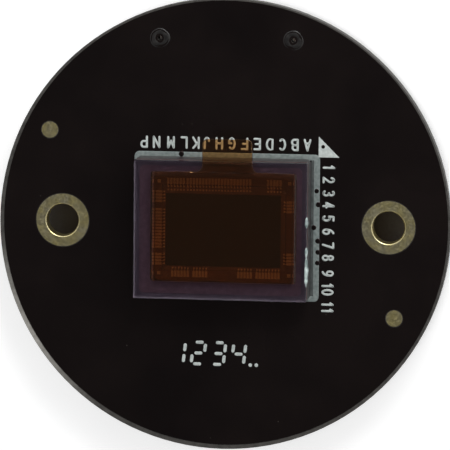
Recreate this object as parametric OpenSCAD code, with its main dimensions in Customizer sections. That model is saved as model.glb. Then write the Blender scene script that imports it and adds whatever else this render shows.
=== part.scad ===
// Round sensor board of a camera module: a bare image sensor under glass on the front,
// a board-to-board connector and its supply parts on the back.
// +Z points the way the sensor looks. The origin is on the board's axis, in the plane
// of the connector's mouth, which is the lowest face.

/* [Board] */
// Diameter of the board
board_d = 29; // [28.5:0.1:32]
// Thickness of the laminate
board_t = 1.0; // [0.6:0.1:1.6]
// Thickness of the solder mask on each face
mask_t = 0.03; // [0.02:0.01:0.05]
// Width of bare laminate left round the edge
mask_edge = 0.2; // [0.15:0.05:0.5]

/* [Mounting holes] */
// Distance between the two hole centres
hole_spacing = 21; // [20:0.1:22]
// Bore left for the screw
hole_d = 2.05; // [2:0.05:2.3]
// Outer diameter of the plated ring
ring_d = 3.4; // [3:0.1:3.8]
// Thickness of the plating
plating_t = 0.05; // [0.03:0.01:0.08]

/* [Marks] */
// Diameter of the two placement marks
mark_d = 1.05; // [0.8:0.05:1.2]
// Diameter of the two covered pads near the top edge
covered_pad_d = 1.15; // [0.8:0.05:1.4]

/* [Sensor package] */
// Width of the ceramic body
package_w = 11.1; // [11.1:0.05:11.6]
// Height of the ceramic body across the board
package_l = 8.9; // [8.8:0.05:9.3]
// Thickness of the ceramic body
package_t = 1.8; // [1.6:0.1:2.2]
// Gap that the solder joints leave under the body
package_gap = 0.1; // [0.06:0.01:0.15]
// Pitch of the solder joints
joint_pitch = 0.8; // [0.75:0.01:0.8]
// Width of the cavity at the bonding ledge
cavity_w = 8.9; // [8.8:0.05:9.1]
// Height of the cavity at the bonding ledge
cavity_l = 6.76; // [6.7:0.02:6.9]
// Width of the pocket that holds the die
pocket_w = 7.96; // [7.94:0.01:8]
// Height of the pocket that holds the die
pocket_l = 5.5; // [5.45:0.01:5.52]
// Thickness of the cover glass
glass_t = 0.55; // [0.4:0.05:0.7]

/* [Protective film] */
// Width of the film
film_w = 9.3; // [9:0.1:9.8]
// Height of the film without its tab
film_l = 7.0; // [6.8:0.1:7.2]
// Thickness of the film
film_t = 0.06; // [0.04:0.01:0.1]
// Width of the pull tab
tab_w = 3.2; // [2.4:0.1:3.6]

/* [Connector] */
// Height of the connector under the board
connector_h = 2.0; // [1.9:0.05:2.4]
// Contacts in each of the two rows
contacts_per_row = 20; // [14:1:20]
// Pitch of the contacts
contact_pitch = 0.5; // [0.5:0.01:0.5]

/* [Hidden] */
$fn = 64;
eps = 0.01;

// Levels
back_z = connector_h;
front_z = back_z + board_t;
package_z = front_z + package_gap;
seal_t = 0.05;
glass_z = package_z + package_t + seal_t;
film_z = glass_z + glass_t;

// Board. It was routed slightly off the centre of its holes and mask.
board_at = [-0.06, -0.09];
mask_clearance = 0.05;
covered_hole_d = 0.3;
covered_pad_t = 0.035;
covered_pads = [[-4.28, 11.83], [4.28, 11.83]];
mark_places = [[-11.35, 5.81], [10.93, -5.83]];
lip_r = 0.12;

// Sensor. Its body stands slightly off the board's centre, as it was placed.
sensor_at = [-0.03, -0.18];
joint_cols = 14;
joint_rows = 11;
joint_d = 0.4;
floor_t = 0.5;
ledge_h = 0.9;
body_r = 0.15;
cavity_r = 0.3;
// Centre of the cavity and pocket, from the centre of the body
cavity_at = [0.12, 0.03];
glass_inset = 0.025;
seal_inset = 0.05;
seal_w = 0.3;
glass_bevel = 0.12;
die_w = pocket_w - 0.1;
die_l = pocket_l - 0.1;
die_t = 0.3;
array_w = 7.4;
array_l = 4.66;
array_t = 0.012;
array_at = [-0.07, -0.15];
metal_t = 0.012;
finger_pitch = 0.2;
finger_w = 0.16;
finger_l = 0.4;
finger_gap = 0.03;
pad_s = 0.1;
pad_inset = 0.08;
inner_pad_y = 2.4;
wire_t = 0.03;
wire_rise = 0.16;
// Where the bonding fingers stand along each side, as stretches from the pocket's centre
fingers_left = [[-2.4, -1.7], [-1.35, 1.2], [1.65, 2.3]];
fingers_right = [[-2.2, -1.6], [1.1, 1.8]];
fingers_top = [[-3.6, -2.6], [-2.35, 1.65], [2.8, 3.6]];
fingers_bottom = [[-3.3, -2.3], [-2.0, -1.05], [0.9, 1.8], [2.1, 3.55]];

// Film, measured from the sensor's centre
film_at = [0.235, 0.24];
film_r = 0.15;
tab_x = 0.23;
tab_reach = 5.87;
tab_r = 0.3;
tab_flare = 0.5;

// Back: everything stands on lands of this thickness
land_t = 0.05;

// Connector, drawn with its seat on the board at height 0
row_l = (contacts_per_row - 1) * contact_pitch;
housing_l = row_l + 2.9;
housing_w = 4.6;
wall_t = 0.55;
end_wall_t = 0.7;
base_t = 0.45;
tongue_w = 1.7;
tongue_l = row_l + 0.6;
tongue_h = 1.55;
mouth_chamfer = 0.15;
key_chamfer = 0.5;
contact_w = 0.2;
contact_t = 0.12;
slot_w = contact_w + 0.02;
foot_y = 2.85;
heel_y = 2.45;
run_h = 0.3;
riser_y = tongue_w / 2 - contact_t / 2 + 0.03;
bend_r = 0.15;
tip_r = 0.1;
anchor_t = 0.15;
anchor_w = 2.4;
anchor_h = 1.3;
anchor_foot = 0.5;
anchor_land = 0.9;

// Chip parts: length, width, height and length of each metal end
chip_0402 = [1.0, 0.5, 0.5, 0.25];
chip_0603 = [1.6, 0.8, 0.8, 0.35];
thin_0402 = [1.0, 0.5, 0.33, 0.22];
cap_skin = 0.02;
fillet_s = 0.22;

// Places on the back, as x, y and turn
small_capacitors = [for (s = [-1, 1], i = [0:7]) [-7 + 2 * i, s * 4.4, 90]];
large_capacitors = concat(
  [for (x = [-4.5, -2.7, 2.7, 4.5]) [x, 8.1, 90]],
  [for (x = [3.3, 4.9]) [x, -8.1, 90]]
);
resistors = concat(
  [for (x = [-1.5, 0, 1.5]) [x, 11.8, 90]],
  [for (x = [-3.6, -1.8, 1.8, 3.6]) [x, -12, 90]]
);
ferrites = [[6.6, -7.9, 90], [8.3, -7.0, 90]];
regulators = [for (x = [-7.2, 0, 7.2]) [x, 8.1, 0]];
bulk_capacitors = [[0, -7.3, 0], [0, -9.8, 0]];
oscillator_at = [-6.2, -8.2, 0];

// Regulators
regulator_size = [2.9, 1.6, 1.1];
regulator_draft = 0.08;
regulator_gap = 0.1;
regulator_pitch = 0.95;
lead_w = 0.4;
lead_t = 0.15;
lead_reach = 1.4;
lead_h = 0.6;
lead_root = 0.7;

// Bulk capacitors
bulk_size = [3.2, 1.6, 1.2];
bulk_terminal_w = 1.1;
bulk_terminal_t = 0.12;
bulk_terminal_l = 0.7;
bulk_terminal_h = 0.7;

// Oscillator
oscillator_size = [3.2, 2.5, 0.7];
oscillator_notch_r = 0.2;
oscillator_land = [0.9, 0.8];
lid_margin = 0.16;
lid_t = 0.12;

// ---------------------------------------------------------------- outlines and helpers

function unit(v) = v / norm(v);
function across(v) = [-v[1], v[0]];

// One edge of a strip of thickness t that follows path, with mitred corners
function strip_edge(path, t, side) = [
  for (i = [0:len(path) - 1])
    let (
      before = unit(path[max(i, 1)] - path[max(i, 1) - 1]),
      after = i < len(path) - 1 ? unit(path[i + 1] - path[i]) : before,
      into = i == 0 ? after : before,
      n = unit(across(into) + across(after))
    ) path[i] + side * t / 2 / (n * across(after)) * n
];
function reversed(list) = [for (i = [len(list) - 1:-1:0]) list[i]];
function strip(path, t) = concat(strip_edge(path, t, 1), reversed(strip_edge(path, t, -1)));
function arc(centre, r, from, to, steps) = [
  for (i = [0:steps])
    let (a = from + (to - from) * i / steps) centre + r * [cos(a), sin(a)]
];

module rounded_rect(w, l, r) {
  square([w - 2 * r, l], center = true);
  square([w, l - 2 * r], center = true);
  for (x = [-1, 1], y = [-1, 1]) {
    translate([x * (w / 2 - r), y * (l / 2 - r)]) circle(r);
  }
}

// The corner of a square that a circle of radius r leaves free
module hollow_corner(r) {
  difference() {
    square(r);
    translate([r, r]) circle(r);
  }
}

// A block whose four sides lean in by draft from the foot to the top
module drafted_block(w, l, h, draft) {
  intersection() {
    translate([0, l / 2 + 1, 0]) rotate([90, 0, 0]) linear_extrude(l + 2)
      polygon([[-w / 2, 0], [w / 2, 0], [w / 2 - draft, h], [-w / 2 + draft, h]]);
    translate([-w / 2 - 1, 0, 0]) rotate([90, 0, 90]) linear_extrude(w + 2)
      polygon([[-l / 2, 0], [l / 2, 0], [l / 2 - draft, h], [-l / 2 + draft, h]]);
  }
}

// A strip of sheet metal of width w, bent along path in the YZ plane
module bent_strip(path, t, w) {
  rotate([90, 0, 90]) linear_extrude(w, center = true) polygon(strip(path, t));
}

module on_back() {
  translate([0, 0, back_z]) mirror([0, 0, 1]) children();
}

module placed(places) {
  for (p = places) {
    translate([p[0], p[1], 0]) rotate([0, 0, p[2]]) children();
  }
}

module on_sensor(z) {
  translate([sensor_at[0], sensor_at[1], z]) children();
}

module in_cavity(z) {
  on_sensor(z) translate(cavity_at) children();
}

// ---------------------------------------------------------------- board

module hole_places() {
  for (s = [-1, 1]) {
    translate([s * hole_spacing / 2, 0]) children();
  }
}

module covered_holes() {
  for (p = covered_pads) {
    translate(p) circle(d = covered_hole_d);
  }
}

module circuit_board() {
  color("#7d776a") translate([0, 0, back_z]) linear_extrude(board_t) difference() {
    translate(board_at) circle(d = board_d, $fn = 160);
    hole_places() circle(d = hole_d + 2 * plating_t);
    covered_holes();
  }
}

module mask_outline() {
  difference() {
    circle(d = board_d - 2 * mask_edge, $fn = 160);
    hole_places() circle(d = ring_d + 2 * mask_clearance);
    covered_holes();
  }
}

// The mask rises over each covered pad
module covered_pad_rise() {
  linear_extrude(mask_t + covered_pad_t) difference() {
    for (p = covered_pads) {
      translate(p) circle(d = covered_pad_d);
    }
    covered_holes();
  }
}

module joint_grid() {
  for (col = [0:joint_cols - 1], row = [0:joint_rows - 1]) {
    translate([
      (col - (joint_cols - 1) / 2) * joint_pitch,
      (row - (joint_rows - 1) / 2) * joint_pitch
    ]) children();
  }
}

module solder_mask_front() {
  color("#171314") translate([0, 0, front_z]) {
    linear_extrude(mask_t) difference() {
      mask_outline();
      for (p = mark_places) {
        translate(p) circle(d = mark_d + 2 * mask_clearance);
      }
      translate(sensor_at) joint_grid() square(joint_d + 2 * mask_clearance, center = true);
    }
    covered_pad_rise();
  }
}

module solder_mask_back() {
  color("#171314") on_back() {
    linear_extrude(mask_t) difference() {
      mask_outline();
      land_outlines(mask_clearance);
    }
    covered_pad_rise();
  }
}

// Plated bore with a ring on each face and a rounded lip between them
module barrel_plating() {
  bore_r = hole_d / 2;
  top = board_t / 2 + plating_t;
  rotate_extrude() difference() {
    union() {
      translate([bore_r, -top]) square([plating_t, 2 * top]);
      for (s = [-1, 1]) {
        translate([bore_r, s * (top - plating_t / 2) - plating_t / 2])
          square([ring_d / 2 - bore_r, plating_t]);
      }
    }
    translate([bore_r, -top]) hollow_corner(lip_r);
    translate([bore_r, top]) mirror([0, 1]) hollow_corner(lip_r);
  }
}

module barrel_plating_at(side) {
  color("#b7a878") translate([side * hole_spacing / 2, 0, back_z + board_t / 2]) barrel_plating();
}

module placement_marks() {
  color("#b7a878") for (p = mark_places) {
    translate([p[0], p[1], front_z]) cylinder(d = mark_d, h = plating_t - 0.015);
  }
}

// ---------------------------------------------------------------- sensor

module sensor_solder_joints() {
  color("#b9bcc0") on_sensor(front_z) joint_grid()
    translate([-joint_d / 2, -joint_d / 2, 0]) cube([joint_d, joint_d, package_gap]);
}

module sensor_package() {
  color("#4b464a") on_sensor(package_z) difference() {
    linear_extrude(package_t) rounded_rect(package_w, package_l, body_r);
    translate([cavity_at[0], cavity_at[1], ledge_h]) linear_extrude(package_t)
      rounded_rect(cavity_w, cavity_l, cavity_r);
    translate([cavity_at[0], cavity_at[1], floor_t]) linear_extrude(package_t)
      square([pocket_w, pocket_l], center = true);
    // Index corner, cut on the side of the first joint
    translate([package_w / 2, package_l / 2, -eps]) rotate([0, 0, 45])
      cube([0.3, 0.3, 2 * floor_t], center = true);
  }
}

// Number of fingers that fit in a stretch, and their places along it
function finger_count(stretch) = floor((stretch[1] - stretch[0]) / finger_pitch) + 1;
function finger_places(stretches) = [
  for (s = stretches)
    for (i = [0:finger_count(s) - 1])
      (s[0] + s[1]) / 2 + (i - (finger_count(s) - 1) / 2) * finger_pitch
];

// Draws its children at each bond, with +Y pointing out across the ledge and the
// origin on the edge of the die pocket
module at_bonds() {
  for (y = finger_places(fingers_left)) {
    translate([-pocket_w / 2, y, 0]) rotate([0, 0, 90]) children();
  }
  for (y = finger_places(fingers_right)) {
    translate([pocket_w / 2, y, 0]) rotate([0, 0, -90]) children();
  }
  for (x = finger_places(fingers_top)) {
    translate([x, pocket_l / 2, 0]) children();
  }
  for (x = finger_places(fingers_bottom)) {
    translate([x, -pocket_l / 2, 0]) rotate([0, 0, 180]) children();
  }
}

module bond_fingers() {
  color("#c9a04a") in_cavity(package_z + ledge_h) {
    at_bonds() translate([-finger_w / 2, finger_gap, 0]) cube([finger_w, finger_l, metal_t]);
    // One square mark in each corner of the ledge
    for (x = [-1, 1], y = [-1, 1]) {
      translate([x * (pocket_w / 2 + 0.2), y * (pocket_l / 2 + 0.2), metal_t / 2])
        cube([0.22, 0.22, metal_t], center = true);
    }
  }
}

module image_die() {
  color("#3a2c2a") in_cavity(package_z + floor_t) linear_extrude(die_t)
    square([die_w, die_l], center = true);
}

module pixel_array() {
  color("#1d1413") in_cavity(package_z + floor_t + die_t) translate(array_at)
    linear_extrude(array_t) square([array_w, array_l], center = true);
}

module die_pad() {
  translate([-pad_s / 2, -pad_s / 2, 0]) cube([pad_s, pad_s, metal_t]);
}

// One pad for each wire, and a second row of test pads along the upper edge
module die_pads() {
  color("#c8b890") in_cavity(package_z + floor_t + die_t) {
    at_bonds() translate([0, -(pocket_l - die_l) / 2 - pad_inset, 0]) die_pad();
    for (x = finger_places(fingers_top)) {
      translate([x, inner_pad_y, 0]) die_pad();
    }
  }
}

// A wire leaves its pad, arches over the edge of the die and comes down on its finger
module bond_wire() {
  pad_y = -(pocket_l - die_l) / 2 - pad_inset;
  finger_y = finger_gap + 0.25;
  pad_h = die_t + floor_t - ledge_h + metal_t + wire_t / 2;
  finger_h = metal_t + wire_t / 2;
  top_h = finger_h + wire_rise;
  bent_strip(concat(
    [[pad_y - 0.03, pad_h], [pad_y + 0.01, pad_h]],
    arc([pad_y + 0.14, top_h - 0.1], 0.1, 165, 60, 4),
    [[finger_y - 0.02, finger_h + 0.03], [finger_y, finger_h], [finger_y + 0.08, finger_h]]
  ), wire_t, wire_t);
}

module bond_wires() {
  color("#d8b45a") in_cavity(package_z + ledge_h) at_bonds() bond_wire();
}

// A bead of resin between the rim of the body and the glass
module glass_seal() {
  w = package_w - 2 * seal_inset;
  l = package_l - 2 * seal_inset;
  color("#8e8a8c") on_sensor(glass_z - seal_t) linear_extrude(seal_t) difference() {
    rounded_rect(w, l, body_r);
    rounded_rect(w - 2 * seal_w, l - 2 * seal_w, cavity_r);
  }
}

// Flat glass with a ground bevel round its upper edge
module cover_glass() {
  w = package_w - 2 * glass_inset;
  l = package_l - 2 * glass_inset;
  color("#8a7f96") on_sensor(glass_z) {
    linear_extrude(glass_t - glass_bevel) square([w, l], center = true);
    translate([0, 0, glass_t - glass_bevel]) drafted_block(w, l, glass_bevel, glass_bevel);
  }
}

// ---------------------------------------------------------------- film

module protective_film() {
  top = film_at[1] + film_l / 2;
  tab_l = tab_reach - top;
  color("#a8621c") on_sensor(film_z) linear_extrude(film_t) {
    translate(film_at) rounded_rect(film_w, film_l, film_r);
    translate([film_at[0] + tab_x, top]) {
      translate([-tab_w / 2, -film_r]) square([tab_w, tab_l + film_r - tab_r]);
      translate([-tab_w / 2 + tab_r, 0]) square([tab_w - 2 * tab_r, tab_l]);
      for (s = [-1, 1]) {
        translate([s * (tab_w / 2 - tab_r), tab_l - tab_r]) circle(tab_r);
      }
      translate([tab_w / 2, 0]) hollow_corner(tab_flare);
      mirror([1, 0]) translate([tab_w / 2, 0]) hollow_corner(tab_flare);
    }
  }
}

// ---------------------------------------------------------------- lands

// Two lands of a chip part, with spare length for the solder fillets
module chip_lands(chip, grow) {
  for (s = [-1, 1]) {
    translate([s * (chip[0] / 2 - chip[3] / 2 + 0.12), 0])
      square([chip[3] + 0.34 + 2 * grow, chip[1] + 0.06 + 2 * grow], center = true);
  }
}

module land_outlines(grow) {
  for (side = [-1, 1], i = [0:contacts_per_row - 1]) {
    translate([(i - (contacts_per_row - 1) / 2) * contact_pitch, side * 2.8])
      square([0.28 + 2 * min(grow, 0.02), 0.85 + 2 * grow], center = true);
  }
  for (side = [-1, 1]) {
    translate([side * (housing_l / 2 + anchor_land / 2 + mask_clearance), 0])
      square([anchor_land + 2 * grow, anchor_w + 0.3 + 2 * grow], center = true);
  }
  placed(small_capacitors) chip_lands(chip_0402, grow);
  placed(large_capacitors) chip_lands(chip_0603, grow);
  placed(resistors) chip_lands(thin_0402, grow);
  placed(ferrites) chip_lands(chip_0603, grow);
  placed(regulators) at_regulator_leads()
    translate([0, lead_reach - 0.15]) square([0.55 + 2 * grow, 0.9 + 2 * grow], center = true);
  placed(bulk_capacitors) for (s = [-1, 1]) {
    translate([s * 1.55, 0]) square([1.1 + 2 * grow, 1.4 + 2 * grow], center = true);
  }
  placed([oscillator_at]) at_oscillator_corners()
    square([oscillator_land[0] + 2 * grow, oscillator_land[1] + 2 * grow], center = true);
}

module back_lands() {
  color("#b9bcc0") on_back() linear_extrude(land_t) land_outlines(0);
}

// ---------------------------------------------------------------- connector

module at_contacts() {
  for (side = [0, 1]) {
    mirror([0, side, 0]) for (i = [0:contacts_per_row - 1]) {
      translate([(i - (contacts_per_row - 1) / 2) * contact_pitch, 0, 0]) children();
    }
  }
}

// Space that one contact needs: a channel under the base, a riser and a seat for the tip
module contact_slot() {
  translate([-slot_w / 2, riser_y, -1]) cube([slot_w, housing_w, 1 + run_h + contact_t / 2 + 0.02]);
  translate([-slot_w / 2, riser_y - contact_t / 2 - 0.01, -1])
    cube([slot_w, 0.19, 1 + connector_h]);
  translate([-slot_w / 2, 0.54, tongue_h - 0.14]) cube([slot_w, 0.4, 1]);
}

module housing_outline() {
  difference() {
    square([housing_l, housing_w], center = true);
    // Keyed corner at contact 1
    translate([-housing_l / 2, housing_w / 2]) rotate([0, 0, 45])
      square(key_chamfer * sqrt(2), center = true);
  }
}

module connector_housing() {
  well_l = housing_l - 2 * end_wall_t;
  well_w = housing_w - 2 * wall_t;
  color("#262527") on_back() difference() {
    union() {
      difference() {
        translate([0, 0, mask_t]) linear_extrude(connector_h - mask_t) housing_outline();
        translate([-well_l / 2, -well_w / 2, base_t]) cube([well_l, well_w, connector_h]);
        translate([0, 0, connector_h - mouth_chamfer]) mirror([0, 0, 1])
          translate([0, 0, -2 * mouth_chamfer])
            drafted_block(well_l + 4 * mouth_chamfer, well_w + 4 * mouth_chamfer,
              2 * mouth_chamfer, 2 * mouth_chamfer);
      }
      translate([-tongue_l / 2, -tongue_w / 2, base_t - eps])
        cube([tongue_l, tongue_w, tongue_h - base_t + eps]);
    }
    at_contacts() contact_slot();
  }
}

// Foot on its land, heel, run under the wall, riser up the tongue and a rolled tip
module connector_contacts() {
  foot_h = land_t + contact_t / 2;
  path = concat(
    [[foot_y + 0.25, foot_h], [heel_y + 0.05, foot_h], [heel_y - 0.12, run_h]],
    reversed(arc([riser_y + bend_r, run_h + bend_r], bend_r, 180, 270, 4)),
    arc([riser_y - tip_r, tongue_h - tip_r], tip_r, 0, 90, 4),
    [[0.58, tongue_h]]
  );
  color("#c8a86a") on_back() at_contacts() bent_strip(path, contact_t, contact_w);
}

// Formed metal plate on each end wall, soldered down by its foot
module connector_anchors() {
  foot_h = land_t + anchor_t / 2;
  face = housing_l / 2 + anchor_t / 2;
  path = concat(
    [[face, anchor_h]],
    arc([face + bend_r, foot_h + bend_r], bend_r, 180, 270, 4),
    [[face + anchor_foot, foot_h]]
  );
  color("#b9bcc0") on_back() for (a = [-90, 90]) {
    rotate([0, 0, a]) bent_strip(path, anchor_t, anchor_w);
  }
}

// ---------------------------------------------------------------- regulators

// The lead places: three on one side, two on the other
module at_regulator_leads() {
  for (x = [-1, 0, 1]) {
    translate([x * regulator_pitch, 0]) children();
  }
  for (x = [-1, 1]) {
    rotate([0, 0, 180]) translate([x * regulator_pitch, 0]) children();
  }
}

module regulator_bodies() {
  half_h = (regulator_size[2] - regulator_gap) / 2;
  color("#232224") on_back() placed(regulators) difference() {
    translate([0, 0, regulator_gap + half_h]) for (up = [0, 1]) {
      mirror([0, 0, up]) drafted_block(regulator_size[0], regulator_size[1], half_h,
        regulator_draft);
    }
    at_regulator_leads() translate([-lead_w / 2, lead_root, lead_h - lead_t / 2])
      cube([lead_w, 1, lead_t]);
  }
}

module regulator_leads() {
  foot_h = land_t + lead_t / 2;
  path = concat(
    [[lead_reach, foot_h]],
    arc([lead_reach - 0.35, foot_h + 0.12], 0.12, 270, 190, 3),
    arc([lead_reach - 0.6, lead_h - 0.12], 0.12, 10, 90, 3),
    [[lead_root, lead_h]]
  );
  color("#b9bcc0") on_back() placed(regulators) at_regulator_leads()
    bent_strip(path, lead_t, lead_w);
}

// ---------------------------------------------------------------- oscillator

module at_oscillator_corners() {
  for (x = [-1, 1], y = [-1, 1]) {
    translate([x * 1.15, y * 0.85]) children();
  }
}

module oscillator_base() {
  color("#c9c2b2") on_back() placed([oscillator_at]) translate([0, 0, land_t])
    linear_extrude(oscillator_size[2]) difference() {
      square([oscillator_size[0], oscillator_size[1]], center = true);
      for (x = [-1, 1], y = [-1, 1]) {
        translate([x * oscillator_size[0] / 2, y * oscillator_size[1] / 2])
          circle(oscillator_notch_r);
      }
    }
}

module oscillator_lid() {
  color("#c4c3bd") on_back() placed([oscillator_at])
    translate([0, 0, land_t + oscillator_size[2]]) linear_extrude(lid_t)
      rounded_rect(oscillator_size[0] - 2 * lid_margin, oscillator_size[1] - 2 * lid_margin,
        0.25);
}

// ---------------------------------------------------------------- bulk capacitors

module bulk_capacitor_bodies() {
  foot = land_t + bulk_terminal_t;
  color("#c98a2c") on_back() placed(bulk_capacitors) translate([0, 0, foot])
    drafted_block(bulk_size[0], bulk_size[1], bulk_size[2] - foot, 0.07);
}

// A strip under each end of the body that turns up its end face
module bulk_capacitor_terminals() {
  face = bulk_size[0] / 2 + bulk_terminal_t / 2;
  foot_h = land_t + bulk_terminal_t / 2;
  path = [
    [face - bulk_terminal_l, foot_h],
    [face, foot_h],
    [face, bulk_terminal_h]
  ];
  color("#b9bcc0") on_back() placed(bulk_capacitors) for (a = [-90, 90]) {
    rotate([0, 0, a]) bent_strip(path, bulk_terminal_t, bulk_terminal_w);
  }
}

// ---------------------------------------------------------------- chip parts

// The block between and inside the two metal ends
module chip_body(chip) {
  translate([0, 0, land_t + chip[2] / 2])
    cube([chip[0] - 2 * cap_skin, chip[1] - 2 * cap_skin, chip[2] - 2 * cap_skin],
      center = true);
}

// Thin metal caps over the ends of the block
module chip_ends(chip) {
  difference() {
    for (s = [-1, 1]) {
      translate([s * (chip[0] - chip[3]) / 2, 0, land_t + chip[2] / 2])
        cube([chip[3], chip[1], chip[2]], center = true);
    }
    chip_body(chip);
  }
}

// Concave solder fillet at each end of a chip
module chip_fillets(chip) {
  for (a = [0, 180]) {
    rotate([0, 0, a]) translate([chip[0] / 2, chip[1] / 2, land_t]) rotate([90, 0, 0])
      linear_extrude(chip[1]) difference() {
        square(fillet_s);
        translate([fillet_s, fillet_s]) circle(fillet_s - 0.03);
      }
  }
}

module capacitor_bodies() {
  color("#a58466") on_back() {
    placed(small_capacitors) chip_body(chip_0402);
    placed(large_capacitors) chip_body(chip_0603);
  }
}

module capacitor_ends() {
  color("#b9bcc0") on_back() {
    placed(small_capacitors) chip_ends(chip_0402);
    placed(large_capacitors) chip_ends(chip_0603);
  }
}

module resistor_bodies() {
  color("#e6e3dc") on_back() placed(resistors) chip_body(thin_0402);
}

// Dark glaze over the resistive film, between the ends
module resistor_coats() {
  color("#1c1b1d") on_back() placed(resistors)
    translate([0, 0, land_t + thin_0402[2] - cap_skin]) linear_extrude(0.015)
      square([thin_0402[0] - 2 * thin_0402[3], thin_0402[1] - 2 * cap_skin], center = true);
}

module resistor_ends() {
  color("#b9bcc0") on_back() placed(resistors) chip_ends(thin_0402);
}

module ferrite_bodies() {
  color("#4a494b") on_back() placed(ferrites) chip_body(chip_0603);
}

module ferrite_ends() {
  color("#b9bcc0") on_back() placed(ferrites) chip_ends(chip_0603);
}

module solder_fillets() {
  color("#c3c6ca") on_back() {
    placed(small_capacitors) chip_fillets(chip_0402);
    placed(large_capacitors) chip_fillets(chip_0603);
    placed(resistors) chip_fillets(thin_0402);
    placed(ferrites) chip_fillets(chip_0603);
  }
}

// ---------------------------------------------------------------- assembly

circuit_board();
solder_mask_front();
solder_mask_back();
barrel_plating_at(-1);  // barrel_plating_left
barrel_plating_at(1);  // barrel_plating_right
placement_marks();
sensor_solder_joints();
sensor_package();
bond_fingers();
image_die();
pixel_array();
die_pads();
bond_wires();
glass_seal();
cover_glass();
protective_film();
back_lands();
connector_housing();
connector_contacts();
connector_anchors();
regulator_bodies();
regulator_leads();
oscillator_base();
oscillator_lid();
bulk_capacitor_bodies();
bulk_capacitor_terminals();
capacitor_bodies();
capacitor_ends();
resistor_bodies();
resistor_coats();
resistor_ends();
ferrite_bodies();
ferrite_ends();
solder_fillets();
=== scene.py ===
"""Finish, print, film, light and camera for a round camera sensor board."""

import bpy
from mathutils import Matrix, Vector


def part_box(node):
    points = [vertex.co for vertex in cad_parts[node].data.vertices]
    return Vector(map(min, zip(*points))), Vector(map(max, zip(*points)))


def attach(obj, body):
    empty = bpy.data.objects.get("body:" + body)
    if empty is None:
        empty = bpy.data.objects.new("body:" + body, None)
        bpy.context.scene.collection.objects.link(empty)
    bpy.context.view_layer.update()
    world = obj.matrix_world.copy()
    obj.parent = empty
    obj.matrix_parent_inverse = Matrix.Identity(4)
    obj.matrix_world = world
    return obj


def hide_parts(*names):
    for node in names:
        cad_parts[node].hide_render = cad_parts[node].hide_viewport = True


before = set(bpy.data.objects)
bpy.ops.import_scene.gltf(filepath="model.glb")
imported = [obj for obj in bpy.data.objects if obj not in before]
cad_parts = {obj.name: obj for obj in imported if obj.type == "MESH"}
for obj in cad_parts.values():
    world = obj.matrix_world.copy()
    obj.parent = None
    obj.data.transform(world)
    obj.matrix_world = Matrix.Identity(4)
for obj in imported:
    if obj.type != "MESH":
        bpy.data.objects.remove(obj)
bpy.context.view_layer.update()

import math

import bmesh
import bpy
from mathutils import Matrix, Vector

MM = 0.001
BODY = "root"

# ---------------------------------------------------------------- sizes, in millimetres

MASK_T = 0.03

# A printed line: thickness, how far it sinks into what it lies on, and its section from side to
# side as shares of half the width and of the thickness
INK_T = 0.015
INK_SINK = 0.004
INK_PROFILE = [(-1.0, 0.0), (-0.82, 0.72), (-0.35, 1.0), (0.35, 1.0), (0.82, 0.72), (1.0, 0.0)]
# Sections of a round end, how blunt its first one is, and the turn at which a line is split
CAP_STEPS = 4
CAP_BLUNT = 0.15
SHARP_TURN = math.radians(25)
# Points closer than this are taken for one
SAME_POINT = 1e-6
LOOP_CLOSED = 1e-4
# A printed dot from its edge to its middle, as shares of the radius and of the height
DOT_PROFILE = [(1.0, 0.15), (0.9, 0.7), (0.7, 0.95), (0.35, 1.0)]
DOT_SIDES = 20

board_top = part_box("circuit_board")[1].z / MM
board_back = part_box("circuit_board")[0].z / MM
mask_top = board_top + MASK_T
mask_under = board_back - MASK_T


# ---------------------------------------------------------------- small helpers

# Nearly all of a noise lies between these two levels
SPREAD = (0.35, 0.65)


def colour(code):
    """A hex colour as linear RGBA."""
    channels = [int(code[i:i + 2], 16) / 255 for i in (1, 3, 5)]
    return [c / 12.92 if c <= 0.04045 else ((c + 0.055) / 1.055) ** 2.4 for c in channels] + [1.0]


def add_node(tree, kind, inputs=(), **settings):
    """Adds a node; inputs, by name or in order, are values or the outputs that feed them."""
    node = tree.nodes.new(kind)
    for name, value in settings.items():
        setattr(node, name, value)
    pairs = inputs.items() if isinstance(inputs, dict) else enumerate(inputs)
    for socket, value in pairs:
        if isinstance(value, bpy.types.NodeSocket):
            tree.links.new(value, node.inputs[socket])
        else:
            node.inputs[socket].default_value = value
    return node.outputs


def start_material(name):
    """An empty material, its node tree, and its place in the part in millimetres."""
    material = bpy.data.materials.new(name)
    material.use_nodes = True
    tree = material.node_tree
    tree.nodes.clear()
    place = add_node(tree, "ShaderNodeTexCoord")["Object"]
    scaled = add_node(tree, "ShaderNodeVectorMath", {0: place, "Scale": 1 / MM}, operation="SCALE")
    return material, tree, scaled[0]


def wander(tree, noise, low, high, start=SPREAD[0], end=SPREAD[1]):
    """A colour that wanders with a noise, from the hex colour low at start to high at end."""
    share = add_node(tree, "ShaderNodeMapRange", [noise, start, end, 0.0, 1.0])[0]
    sockets = {0: share, 6: colour(low), 7: colour(high)}
    return add_node(tree, "ShaderNodeMix", sockets, data_type="RGBA")[2]


def finish_material(tree, **sockets):
    """The one shader of a material, fed by its sockets with spaces written as underscores."""
    named = {name.replace("_", " "): value for name, value in sockets.items()}
    shader = add_node(tree, "ShaderNodeBsdfPrincipled", named)[0]
    add_node(tree, "ShaderNodeOutputMaterial", {"Surface": shader})


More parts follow.
